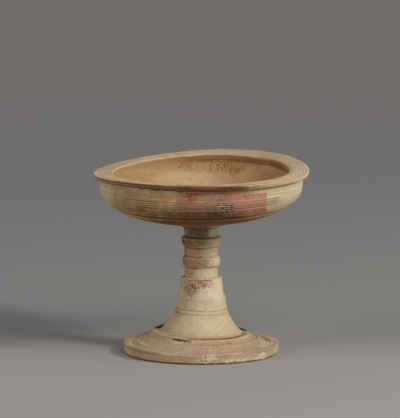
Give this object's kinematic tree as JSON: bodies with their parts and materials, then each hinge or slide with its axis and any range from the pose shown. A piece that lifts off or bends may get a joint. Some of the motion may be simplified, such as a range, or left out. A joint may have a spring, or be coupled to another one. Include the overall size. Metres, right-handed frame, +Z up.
{
  "type": "chalice",
  "caption": "Footed bowl of buff fired clay: wide shallow bowl with a flat ledge rim, ringed stem, flared cone and a spreading hollow foot.",
  "frame": {"origin": "centre of the standing ring, on the surface that the foot stands on", "axes": "+Z up along the stem; the front of the vessel, with its pink and sooted patch, faces -Y"},
  "size_m": [0.1722, 0.1722, 0.153],
  "materials": {
    "fired_clay": "matt, unglazed, worn"
  },
  "bodies": {
    "root": {"chalice": "fired_clay"}
  },
  "joints": []
}
